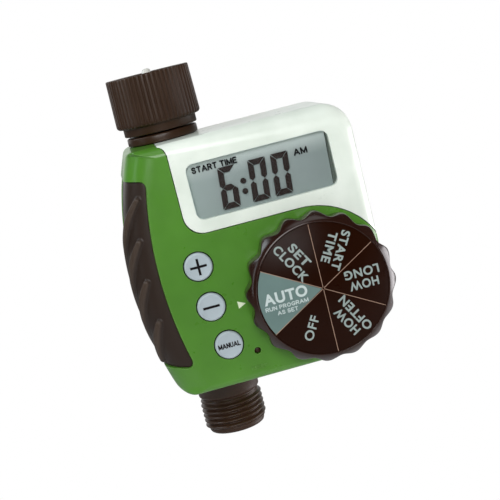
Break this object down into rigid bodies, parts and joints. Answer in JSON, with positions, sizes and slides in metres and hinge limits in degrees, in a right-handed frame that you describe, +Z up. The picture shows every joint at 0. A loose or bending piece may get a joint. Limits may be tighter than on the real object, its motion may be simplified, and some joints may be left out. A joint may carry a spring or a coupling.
{
  "type": "hose tap timer",
  "caption": "Battery hose-tap timer with a clock display, push buttons, a scalloped function dial, a ribbed swivel inlet nut and a threaded hose outlet.",
  "frame": {"origin": "centre of the inlet washer's top face, the seat that the tap's rim presses on", "axes": "+Z up along the water path towards the tap, -Y out of the front panel towards the user, +X to the viewer's right"},
  "size_m": [0.1036, 0.0745, 0.1581],
  "materials": {
    "green_casing": "glossy, fine moulded texture",
    "pale_bezel": "glossy",
    "clear_window": "polished",
    "display": "satin",
    "grip_rubber": "matte",
    "dark_nylon": "satin, moulded",
    "button_rubber": "matte",
    "dial_rim": "glossy",
    "dial_print": "printed film",
    "black_rubber": "matte",
    "white_plastic": "matte",
    "board": "solder mask",
    "copper": "enamelled winding",
    "steel": "brushed",
    "brass": "drawn",
    "cell_jacket": "printed sleeve",
    "red_lead": "satin",
    "black_lead": "satin"
  },
  "bodies": {
    "case": {"front_shell": "green_casing", "rear_shell": "green_casing", "display_bezel": "pale_bezel", "lcd_window": "clear_window", "lcd_glass": "display", "side_grip": "grip_rubber", "valve_body": "dark_nylon", "outlet_spout": "dark_nylon", "valve_bonnet": "dark_nylon", "inlet_washer": "black_rubber", "spout_o_ring": "black_rubber", "diaphragm": "black_rubber", "zebra_strip": "black_rubber", "microcontroller": "black_rubber", "spindle_seal": "black_rubber", "filter_screen": "white_plastic", "button_membrane": "white_plastic", "battery_tray": "white_plastic", "circuit_board": "board", "solenoid_coil": "copper", "case_screw_1": "steel", "case_screw_2": "steel", "case_screw_3": "steel", "case_screw_4": "steel", "nut_retaining_ring": "steel", "bonnet_screw_1": "steel", "bonnet_screw_2": "steel", "bonnet_screw_3": "steel", "bonnet_screw_4": "steel", "diaphragm_spring": "steel", "plunger_spring": "steel", "solenoid_frame": "steel", "detent_spring": "steel", "cell_spring_1": "steel", "cell_spring_2": "steel", "door_hinge_pin": "steel", "core_tube": "brass", "contact_bridge": "brass", "cell_1": "cell_jacket", "cell_2": "cell_jacket", "solenoid_lead_1": "red_lead", "battery_lead_1": "red_lead", "solenoid_lead_2": "black_lead", "battery_lead_2": "black_lead", "capacitor": "black_lead"},
    "nut": {"swivel_nut": "dark_nylon"},
    "dial": {"dial_knob": "dial_rim", "dial_label": "dial_print", "dial_spindle": "white_plastic", "contact_wiper": "copper", "spindle_clip": "steel"},
    "plus": {"plus_button": "button_rubber"},
    "minus": {"minus_button": "button_rubber"},
    "manual": {"manual_button": "button_rubber"},
    "reset": {"reset_button": "dark_nylon"},
    "door": {"battery_door": "green_casing", "door_gasket": "black_rubber"},
    "plunger": {"plunger": "steel"},
    "poppet": {"valve_poppet": "black_rubber"}
  },
  "joints": [
    {"name": "nut_swivel", "type": "hinge", "parent": "case", "child": "nut", "pos_m": [0, 0, -0.005], "axis": [0, 0, 1], "continuous": true},
    {"name": "dial_turn", "type": "hinge", "parent": "case", "child": "dial", "pos_m": [0.0443, -0.04, -0.0884], "axis": [0, -1, 0], "continuous": true},
    {"name": "plus_press", "type": "slide", "parent": "case", "child": "plus", "axis": [0, 1, 0], "range_m": [0, 0.0008], "stiffness_N_per_m": 500, "springref_m": -0.001},
    {"name": "minus_press", "type": "slide", "parent": "case", "child": "minus", "axis": [0, 1, 0], "range_m": [0, 0.0008], "stiffness_N_per_m": 500, "springref_m": -0.001},
    {"name": "manual_press", "type": "slide", "parent": "case", "child": "manual", "axis": [0, 1, 0], "range_m": [0, 0.0008], "stiffness_N_per_m": 500, "springref_m": -0.001},
    {"name": "reset_press", "type": "slide", "parent": "case", "child": "reset", "axis": [0, 1, 0], "range_m": [0, 0.0004], "stiffness_N_per_m": 400, "springref_m": -0.001},
    {"name": "door_swing", "type": "hinge", "parent": "case", "child": "door", "pos_m": [0.0186, 0.0269, -0.086], "axis": [0, 0, 1], "range_deg": [0, 110]},
    {"name": "plunger_lift", "type": "slide", "parent": "case", "child": "plunger", "axis": [1, 0, 0], "range_m": [0, 0.0012], "stiffness_N_per_m": 300, "springref_m": -0.002, "deforming": ["plunger_spring"]},
    {"name": "poppet_lift", "type": "slide", "parent": "case", "child": "poppet", "axis": [1, 0, 0], "range_m": [0, 0.00192], "deforming": ["diaphragm", "diaphragm_spring"]}
  ],
  "couplings": [
    {"joint": "poppet_lift", "follows": "plunger_lift", "ratio": 1.6}
  ]
}
